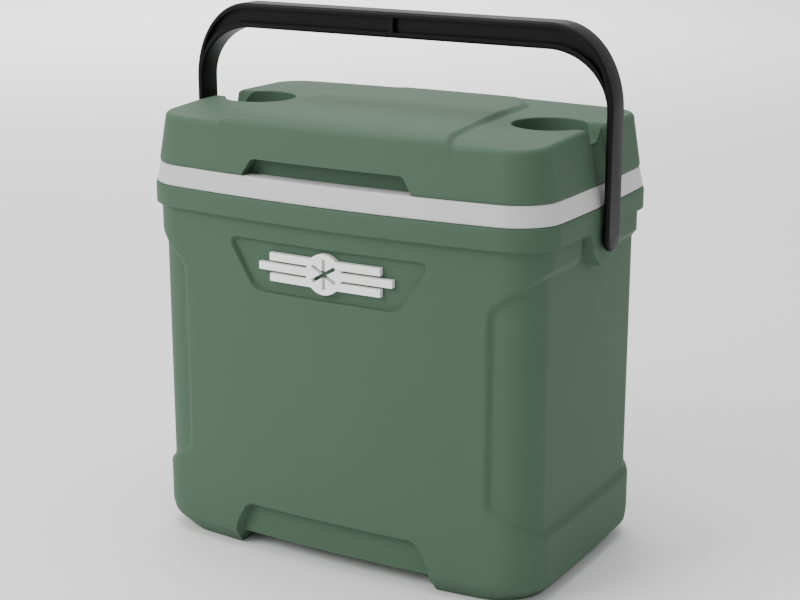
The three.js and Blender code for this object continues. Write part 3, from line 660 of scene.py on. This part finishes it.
class COOLER_OT_chest(bpy.types.Operator):
    """Builds the chest's outer shell with its collar, recesses, bosses, arch and runners"""
    bl_idname = "cooler.chest"
    bl_label = "Chest shell"

    def execute(self, context):
        chest = context.scene.cooler_chest
        top = BODY_HIGH.z
        heights = [low * MM for low, gap in CHEST_ROW_GAPS] + [top]
        rows = []
        for (_, gap), low, high in zip(CHEST_ROW_GAPS, heights, heights[1:]):
            rows += [("skin", z) for z in spaced(low, high, gap * MM)]
        cavity = chest.wall_inset + chest.side_recess_depth + CAVITY_WALL
        low_cavity = chest.wall_inset + chest.arch_depth + LOW_CAVITY_WALL
        rows += [
            ("skin", top),
            ("inner", top, cavity),
            ("inner", chest.arch_top + CAVITY_STEP, cavity),
            ("inner", chest.arch_top + LOW_CAVITY_WALL, low_cavity),
            ("inner", chest.clearance + CAVITY_WALL, low_cavity),
        ]

        def seat(column, row):
            if row[0] == "skin":
                return chest_seat(column, row[1])
            return Vector((*bowed(*Outline.point(column, row[2], corner(row[2]))), row[1]))

        outline = Outline(*CHEST_COLUMNS)
        piece = to_object("chest_shell", skin(outline, rows, seat), green_hdpe())
        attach(piece, "chest")
        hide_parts("body_shell")
        finish_node("body_foam", foam_pu())
        for side in ("left", "right"):
            finish_node(f"pivot_bush_{side}", acetal())
        return {"FINISHED"}


class COOLER_OT_liner(bpy.types.Operator):
    """Builds the grey tub, whose flange is the band under the lid"""
    bl_idname = "cooler.liner"
    bl_label = "Liner tub"

    def execute(self, context):
        lean = context.scene.cooler_lid.band_slope
        low, high = BODY_HIGH.z + 0.3 * MM, BAND_HIGH.z
        foot = context.scene.cooler_lid.band_setback / MM
        tub = TUB_CORNER
        # A row is its height and inset in millimetres, and the corner size of the tub's own rings.
        rows = [
            (38, 43, tub), (46, 35, tub), (low / MM, 30, tub),
            (low / MM, foot + 0.7, None), (low / MM + 0.4, foot + 0.2, None), (low / MM + 1, foot, None),
        ]
        for i in range(1, BAND_ROWS):
            share = i / BAND_ROWS
            rows.append((mix(low / MM + 1, high / MM - 2, share), mix(foot, lean / MM, share), None))
        rows += [
            (high / MM - 1.4, lean / MM + 0.1, None), (high / MM - 0.5, lean / MM + 0.5, None),
            (high / MM, lean / MM + 1.5, None), (high / MM, 31.5, tub), (high / MM - 0.5, 32.6, tub),
            (high / MM - 1.5, 33, tub), (49, 38, tub), (44, 39.5, tub), (41.6, 42, tub), (41, 46, tub),
        ]

        def seat(column, row):
            z, inset, big = row[0] * MM, row[1] * MM, row[2]
            radius = big - inset if big else corner(inset)
            x, y = bowed(*Outline.point(column, inset, radius))
            if not big:
                y = hinge_bed(x, y, z, 0, 1)
            return Vector((x, y, z))

        outline = Outline(*LINER_COLUMNS)
        piece = to_object("liner_tub_band", skin(outline, rows, seat), grey_hdpe())
        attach(piece, "chest")
        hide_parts("liner_tub")
        return {"FINISHED"}


class COOLER_OT_badge(bpy.types.Operator):
    """Builds the white winter motif in the front recess"""
    bl_idname = "cooler.badge"
    bl_label = "Badge"

    def execute(self, context):
        chest = context.scene.cooler_chest
        low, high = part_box("badge")
        material = white_abs()
        centre = (low.z + high.z) / 2
        back = -HALF_Y + chest.wall_inset + chest.badge_depth - BADGE_LAP
        face = -HALF_Y + chest.wall_inset - BADGE_PROUD
        bm = bmesh.new()
        disc = (high.z - low.z) / 2
        turned = Matrix.Translation((0, (back + face) / 2, centre)) @ Matrix.Rotation(math.pi / 2, 4, "X")
        bmesh.ops.create_cone(bm, cap_ends=True, segments=72, radius1=disc, radius2=disc,
                              depth=back - face, matrix=turned)
        piece = to_object("badge_motif", bm, material)
        parts = []
        for row in (-1, 0, 1):
            bm = bmesh.new()
            half = high.x - abs(row) * BAR_SHORTER
            made = bmesh.ops.create_grid(bm, x_segments=28, y_segments=2, size=1)["verts"]
            bmesh.ops.scale(bm, vec=(half, BAR_HALF_HEIGHT, 1), verts=made)
            bmesh.ops.rotate(bm, cent=(0, 0, 0), matrix=Matrix.Rotation(math.pi / 2, 3, "X"), verts=made)
            bmesh.ops.translate(bm, vec=(0, face, centre + row * BAR_PITCH), verts=made)
            push_through(bm, list(bm.faces), back - face)
            bmesh.ops.recalc_face_normals(bm, faces=bm.faces)
            parts.append(to_object("badge_bar", bm, material))
        join(piece, parts)
        arms = []
        for turn in (30, 90, 150):
            bm = bmesh.new()
            made = bmesh.ops.create_cube(bm, size=1)["verts"]
            bmesh.ops.scale(bm, vec=(2 * disc - ARM_SHORTER, ARM_REACH, ARM_WIDTH), verts=made)
            spun = Matrix.Rotation(math.radians(turn), 3, "Y")
            bmesh.ops.rotate(bm, cent=(0, 0, 0), matrix=spun, verts=made)
            bmesh.ops.translate(bm, vec=(0, face, centre), verts=made)
            arms.append(to_object("badge_arm", bm, material))
        cut(piece, arms)
        remove(parts)
        bm = bmesh.new()
        bm.from_mesh(piece.data)
        for vert in bm.verts:
            x, y = bowed(vert.co.x, vert.co.y)
            vert.co.x, vert.co.y = x, y
        bm.to_mesh(piece.data)
        bm.free()
        soften(piece, BADGE_EDGE, 50)
        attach(piece, "chest")
        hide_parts("badge")
        return {"FINISHED"}


# ---------------------------------------------------------------- the lid

def panel_half_width(y):
    """Half the width of the raised middle of the lid, from front to back."""
    return along([
        (-HALF_Y + 15 * MM, 117 * MM),
        (-HALF_Y + 45 * MM, 104 * MM),
        (HALF_Y - 62 * MM, 93 * MM),
        (HALF_Y, 50 * MM),
    ], y)


def channel_share(x, y, lid):
    """1 in the drain channel that leads from a drink recess over the lid's edge, 0 clear of it."""
    ahead = step(y - lid.channel_y + lid.channel_half_width, CHANNEL_FRONT_BLEND)
    rear = lid.channel_y + lid.channel_half_width - CHANNEL_REAR_INSET
    behind = step(rear - y, CHANNEL_REAR_BLEND)
    return ahead * behind * step(abs(x) - lid.cup_x, CHANNEL_START_BLEND)


def lid_height(x, y, lid):
    """The height of the lid's top face."""
    deck = LID_HIGH.z - lid.panel_rise
    fall = soft_max(0.0, -DECK_FLAT - y, DECK_ROUND) / (HALF_Y - DECK_FLAT)
    z = deck - lid.deck_fall * fall
    ahead = lid.panel_fall_front * (lid.crease - y) / (HALF_Y + lid.crease)
    behind = lid.panel_fall_rear * (y - lid.crease) / (HALF_Y - lid.crease)
    panel = LID_HIGH.z - soft_max(ahead, behind, CREASE_BLEND)
    z = mix(z, panel, step(panel_half_width(y) + PANEL_MARGIN - abs(x), PANEL_BLEND))
    ramp = min(1.0, max(0.0, (abs(x) - lid.cup_x - CHANNEL_LEVEL) / CHANNEL_RAMP))
    return mix(z, deck - lid.channel_depth - lid.channel_drop * ramp, channel_share(x, y, lid))


def lid_seat(column, row):
    """The place of a vertex of the lid's skin: its foot, side, rounded edge or top."""
    lid = bpy.context.scene.cooler_lid
    chest = bpy.context.scene.cooler_chest
    kind, amount = row[0], row[1]
    shoulder = lid.band_slope + lid.taper
    x0, y0 = bowed(*Outline.point(column, shoulder, corner(shoulder)))
    finger = step(lid.finger_half_bottom + FINGER_MARGIN - abs(x0), FINGER_BLEND) if column[1] == -1 else 0
    if kind == "under":
        inset = amount
        if amount <= UNDER_FLAT:
            inset = mix(amount, lid.band_slope + lid.finger_depth + UNDER_MARGIN, finger)
        x, y = bowed(*Outline.point(column, inset, max(chest.corner_radius - inset, UNDER_CORNER)))
        return Vector((x, y, row[2]))
    if kind == "foot":
        x, y = bowed(*Outline.point(column, amount, corner(amount)))
        return Vector((x, hinge_bed(x, y, row[2], 0, 1), row[2]))
    edge = lid.edge
    gutter = 0.0
    if abs(column[1]) != 1:
        gutter = step(lid.channel_half_width - abs(y0 - lid.channel_y), GUTTER_BLEND)
    dip = lid.side_channel_depth * gutter
    if kind == "side":
        top = lid_height(x0, y0, lid) - edge
        inset = mix(lid.band_slope, shoulder, amount)
        z = mix(LID_LOW.z + SIDE_START, top, amount)
        inset += dip * step(z - LID_LOW.z - GUTTER_START, GUTTER_RISE)
    elif kind == "edge":
        turn = math.radians(amount)
        inset = shoulder + edge - edge * math.cos(turn) + dip
    else:
        inset = amount
    ring = corner(inset) if kind != "top" else min(corner(shoulder + edge), 0.6 * (HALF_Y - inset))
    x, y = bowed(*Outline.point(column, inset, max(ring, 0.5 * MM)))
    if kind == "edge":
        z = lid_height(x, y, lid) - edge + edge * math.sin(turn)
    elif kind == "top":
        z = lid_height(x, y, lid)
    pad_top = LID_LEAF_HIGH.z + PAD_MARGIN
    y = hinge_bed(x, y, z, 0, pad_top) if kind in ("side", "edge") else y
    return Vector((x, y, z))


def finger_cutter(lid):
    """The pocket under the lid's front edge, which follows the bowed front."""
    bottom = LID_LOW.z - FINGER_BELOW
    top = LID_LOW.z + lid.finger_height
    half = [
        (lid.finger_half_bottom, bottom), (lid.finger_half_bottom, LID_LOW.z + 1.5 * MM),
        (lid.finger_half_top + 3 * MM, top - 3.5 * MM), (lid.finger_half_top + 1 * MM, top - 1 * MM),
        (lid.finger_half_top - 3 * MM, top),
    ]
    bm = bmesh.new()
    points = half + mirrored(half)
    front = -HALF_Y - FINGER_OVERCUT
    back = -HALF_Y + lid.band_slope + lid.finger_depth
    face = bm.faces.new([bm.verts.new((x, front, z)) for x, z in points])
    push_through(bm, [face], back - front)
    for share in FINGER_BEND_SHARES:
        bmesh.ops.bisect_plane(bm, geom=bm.verts[:] + bm.edges[:] + bm.faces[:],
                               plane_co=(share * lid.finger_half_top, 0, 0), plane_no=(1, 0, 0))
    for vert in bm.verts:
        vert.co.x, vert.co.y = bowed(vert.co.x, vert.co.y)
    bmesh.ops.triangulate(bm, faces=bm.faces)
    bmesh.ops.recalc_face_normals(bm, faces=bm.faces)
    return to_object("finger_cutter", bm, green_hdpe())


def cup_cutter(side, lid):
    """A drink recess as a turned solid: a flat floor with a round foot, and a rim that flares softly."""
    top = LID_HIGH.z - lid.panel_rise
    floor = top - lid.cup_depth
    radius, flat = lid.cup_radius, lid.cup_radius - CUP_WALL_INSET
    turns = [math.radians(a) for a in CUP_TURNS]
    profile = [(0, floor), (flat, floor)]
    profile += [(flat + CUP_FOOT * math.sin(a), floor + CUP_FOOT - CUP_FOOT * math.cos(a)) for a in turns]
    profile += [(radius - CUP_DRAFT, floor + CUP_WALL_START), (radius, top - CUP_RIM)]
    profile += [(radius + CUP_RIM * (1 - math.cos(a)), top - CUP_RIM + CUP_RIM * math.sin(a)) for a in turns]
    wide, above = radius + CUP_FLARE, top + CUP_OVERCUT
    profile += [(wide, top + CUP_FLARE_RISE), (wide, above), (0, above)]
    bm = bmesh.new()
    verts = [bm.verts.new((r, 0, z)) for r, z in profile]
    edges = [bm.edges.new(pair) for pair in zip(verts, verts[1:])]
    bmesh.ops.spin(bm, geom=verts + edges, cent=(0, 0, 0), axis=(0, 0, 1), angle=2 * math.pi,
                   steps=96, use_merge=True)
    bmesh.ops.remove_doubles(bm, verts=bm.verts, dist=1e-6)
    bmesh.ops.translate(bm, vec=(side * lid.cup_x, lid.cup_y, 0), verts=bm.verts)
    bmesh.ops.recalc_face_normals(bm, faces=bm.faces)
    return to_object("cup_cutter", bm, green_hdpe())


class COOLER_OT_lid(bpy.types.Operator):
    """Builds the lid's outer shell with its raised middle, drink recesses, channels and finger recess"""
    bl_idname = "cooler.lid"
    bl_label = "Lid shell"

    def execute(self, context):
        lid = context.scene.cooler_lid
        foot = LID_LOW.z
        bed = foot + BED_HEIGHT
        shoulder = lid.band_slope + lid.taper
        # A row is its kind, its inset, share or angle, and for the foot its height.
        rows = [
            ("under", UNDER_INSET, bed), ("under", lid.band_slope + 5.2 * MM, bed),
            ("under", lid.band_slope + 5 * MM, foot),
            ("foot", lid.band_slope + 1.6 * MM, foot), ("foot", lid.band_slope + 0.7 * MM, foot + 0.3 * MM),
            ("foot", lid.band_slope + 0.2 * MM, foot + 1.0 * MM),
        ]
        rows += [("side", i / SIDE_ROWS) for i in range(SIDE_ROWS + 1)]
        rows += [("edge", a) for a in EDGE_TURNS]
        start = shoulder + lid.edge + 0.2 * MM
        end = HALF_Y - MIDDLE_GAP
        rings = round((end - start) / RING_GAP)
        rows += [("top", mix(start, end, i / rings)) for i in range(rings + 1)]
        outline = Outline(*LID_COLUMNS)
        bm = skin(outline, rows, lid_seat)
        piece = to_object("lid_shell_moulding", bm, green_hdpe())
        cut(piece, [finger_cutter(lid), cup_cutter(1, lid), cup_cutter(-1, lid)])
        piece.data.set_sharp_from_angle(angle=SHARP_ANGLE)
        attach(piece, "lid")
        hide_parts("lid_shell", "lid_foam")
        finish_node("lid_liner", grey_hdpe())
        return {"FINISHED"}


# ---------------------------------------------------------------- the bail

def bail_edge(x, top, radius_x, radius_z, steps=28):
    """A rounded corner of the bail's outline, from its strap to its bar."""
    turns = [math.pi / 2 * i / steps for i in range(steps + 1)]
    return [(x - radius_x + radius_x * math.cos(a), top - radius_z + radius_z * math.sin(a)) for a in turns]


class COOLER_OT_bail(bpy.types.Operator):
    """Builds the bail: two flat straps, a deep bar with grip recesses, and a stud at each end"""
    bl_idname = "cooler.bail"
    bl_label = "Bail handle"

    def execute(self, context):
        bail = context.scene.cooler_bail
        chest = context.scene.cooler_chest
        material = black_pp()
        outer_x, top, half = BAIL_HIGH.x, BAIL_HIGH.z, BAIL_HIGH.y
        inner_x = outer_x - bail.strap_thickness
        bottom = top - bail.bar_height
        low = chest.pivot_height
        outer = [(outer_x, low), *bail_edge(outer_x, top, bail.corner_x, bail.corner_z)]
        inner = [(inner_x, low), *bail_edge(
            inner_x, bottom, bail.corner_x - CORNER_NARROWER, bail.corner_z - bail.bar_height)]
        bm = bmesh.new()
        chains = []
        for points in (outer, inner):
            verts = [bm.verts.new((x, -half, z)) for x, z in points + mirrored(points)]
            chains += [bm.edges.new(pair) for pair in zip(verts, verts[1:])]
        bmesh.ops.bridge_loops(bm, edges=chains)
        push_through(bm, list(bm.faces), 2 * half)
        bmesh.ops.recalc_face_normals(bm, faces=bm.faces)
        round_edges(bm, bail.edge, lambda edge: min(v.co.z for v in edge.verts) > low + 1e-6
                    or abs(edge.verts[0].co.z - edge.verts[1].co.z) > 1e-6)
        piece = to_object("bail_moulding", bm, material)
        rounds = []
        for side in (-1, 1):
            bm = bmesh.new()
            middle = side * (outer_x + inner_x) / 2
            turn = Matrix.Translation((middle, 0, low)) @ Matrix.Rotation(math.pi / 2, 4, "Y")
            bmesh.ops.create_cone(bm, cap_ends=True, segments=64, radius1=half, radius2=half,
                                  depth=bail.strap_thickness, matrix=turn)
            round_edges(bm, bail.edge)
            rounds.append(to_object("strap_end", bm, material))
            bm = bmesh.new()
            inside = BAIL_HIGH.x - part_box("pivot_bush_right")[0].x - STUD_SHORTER
            middle = side * (outer_x - STUD_SINK - inside / 2)
            turn = Matrix.Translation((middle, 0, low)) @ Matrix.Rotation(math.pi / 2, 4, "Y")
            bmesh.ops.create_cone(bm, cap_ends=True, segments=48, radius1=STUD_RADIUS, radius2=STUD_RADIUS,
                                  depth=inside, matrix=turn)
            rounds.append(to_object("stud", bm, material))
        join(piece, rounds)
        tip_z = top - bail.corner_z + GRIP_TIP_RISE
        tip_x = (inner_x + outer_x) / 2 - GRIP_TIP_INSET
        reach = bail.corner_x - GRIP_BOW_INSET
        upper = bail_edge(tip_x, top - bail.grip_rim, reach, top - bail.grip_rim - tip_z)
        lower = bail_edge(tip_x, bottom + bail.grip_rim, reach, bottom + bail.grip_rim - tip_z)[1:]
        grip = [*upper, (bail.grip_rib / 2, top - bail.grip_rim), (bail.grip_rib / 2, bottom + bail.grip_rim),
                *reversed(lower)]
        cutters = []
        for outline in (grip, mirrored(grip)):
            for from_y, to_y in ((-half - GRIP_OVERCUT, -half + bail.grip_depth),
                                 (half - bail.grip_depth, half + GRIP_OVERCUT)):
                cutters.append(prism("grip_cutter", outline, from_y, to_y, material))
        cut(piece, cutters)
        remove(rounds)
        soften(piece, BAIL_FINAL_EDGE, 40)
        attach(piece, "bail")
        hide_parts("bail_handle")
        return {"FINISHED"}


class COOLER_OT_hinges(bpy.types.Operator):
    """Finishes the two rear hinges, their pins and screws"""
    bl_idname = "cooler.hinges"
    bl_label = "Hinges"

    def execute(self, context):
        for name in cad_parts:
            if name.startswith(("hinge_body_leaf", "hinge_lid_leaf")):
                finish_node(name, grey_hdpe())
            elif name.startswith("hinge_pin") or "screw" in name:
                finish_node(name, plated_steel())
        return {"FINISHED"}


# ---------------------------------------------------------------- the stage

CAMERA_LENS = 76.7
CAMERA_PLACE = (0.7855, -1.3412, 0.6636)
CAMERA_BACKWARD = (0.4856, -0.8314, 0.2703)
FLOOR_HALF_SIZE = 14
FLOOR_GAP = 0.5 * MM
WORLD_STRENGTH = 0.75
# Each lamp: name, place, the place it is aimed at, its size in metres and its power in watts.
LAMPS = (
    ("key", (-1.4, -2.1, 1.9), (0, 0, 0.22), 1.6, 58),
    ("top", (-0.2, 0.1, 2.6), (0, 0, 0.22), 1.8, 42),
    ("sweep", (-3.0, 3.6, 2.6), (-3.4, 4.2, 0), 3.5, 240),
)


class COOLER_OT_stage(bpy.types.Operator):
    """Sets the camera, the pale floor and the soft studio light"""
    bl_idname = "cooler.stage"
    bl_label = "Stage"

    def execute(self, context):
        scene = context.scene
        data = bpy.data.cameras.new("camera")
        data.lens = CAMERA_LENS
        camera = bpy.data.objects.new("camera", data)
        camera.location = CAMERA_PLACE
        camera.rotation_euler = Vector(CAMERA_BACKWARD).to_track_quat("Z", "Y").to_euler()
        scene.collection.objects.link(camera)
        scene.camera = camera
        bm = bmesh.new()
        below = Matrix.Translation((0, 0, -FLOOR_GAP))
        bmesh.ops.create_grid(bm, x_segments=2, y_segments=2, size=FLOOR_HALF_SIZE, matrix=below)
        floor_material = bpy.data.materials.new("pale_studio_floor")
        floor_material.use_nodes = True
        shader = floor_material.node_tree.nodes["Principled BSDF"]
        shader.inputs["Base Color"].default_value = (0.9, 0.9, 0.9, 1)
        shader.inputs["Roughness"].default_value = 0.9
        floor = to_object("floor", bm, floor_material)
        world = bpy.data.worlds.new("studio")
        world.use_nodes = True
        world.node_tree.nodes["Background"].inputs["Color"].default_value = (1, 1, 1, 1)
        world.node_tree.nodes["Background"].inputs["Strength"].default_value = WORLD_STRENGTH
        scene.world = world
        for name, place, aim, size, power in LAMPS:
            light = bpy.data.lights.new(name, "AREA")
            light.size = size
            light.energy = power
            lamp = bpy.data.objects.new(name, light)
            lamp.location = place
            lamp.rotation_euler = (Vector(aim) - Vector(place)).to_track_quat("-Z", "Y").to_euler()
            scene.collection.objects.link(lamp)
        return {"FINISHED"}


class COOLER_PT_panel(bpy.types.Panel):
    """Lists the cooler's settings and the steps that build it"""
    bl_idname = "COOLER_PT_panel"
    bl_label = "Picnic Cooler"
    bl_space_type = "VIEW_3D"
    bl_region_type = "UI"
    bl_category = "Cooler"

    def draw(self, context):
        for operator in OPERATORS:
            self.layout.operator(operator.bl_idname)
        for group in SETTINGS:
            settings = getattr(context.scene, group)
            box = self.layout.box()
            for key in settings.__annotations__:
                box.prop(settings, key)


SETTINGS = {
    "cooler_chest": CoolerChestSettings,
    "cooler_lid": CoolerLidSettings,
    "cooler_bail": CoolerBailSettings,
    "cooler_finish": CoolerFinishSettings,
}
OPERATORS = (
    COOLER_OT_stage,
    COOLER_OT_chest,
    COOLER_OT_liner,
    COOLER_OT_badge,
    COOLER_OT_lid,
    COOLER_OT_bail,
    COOLER_OT_hinges,
)


def register():
    for group, settings in SETTINGS.items():
        bpy.utils.register_class(settings)
        setattr(bpy.types.Scene, group, bpy.props.PointerProperty(type=settings))
    for cls in (*OPERATORS, COOLER_PT_panel):
        bpy.utils.register_class(cls)


def unregister():
    for cls in reversed((*OPERATORS, COOLER_PT_panel)):
        bpy.utils.unregister_class(cls)
    for group, settings in SETTINGS.items():
        delattr(bpy.types.Scene, group)
        bpy.utils.unregister_class(settings)


def main():
    register()
    for operator in OPERATORS:
        group, name = operator.bl_idname.split(".")
        getattr(getattr(bpy.ops, group), name)()


if __name__ == "__main__":
    main()
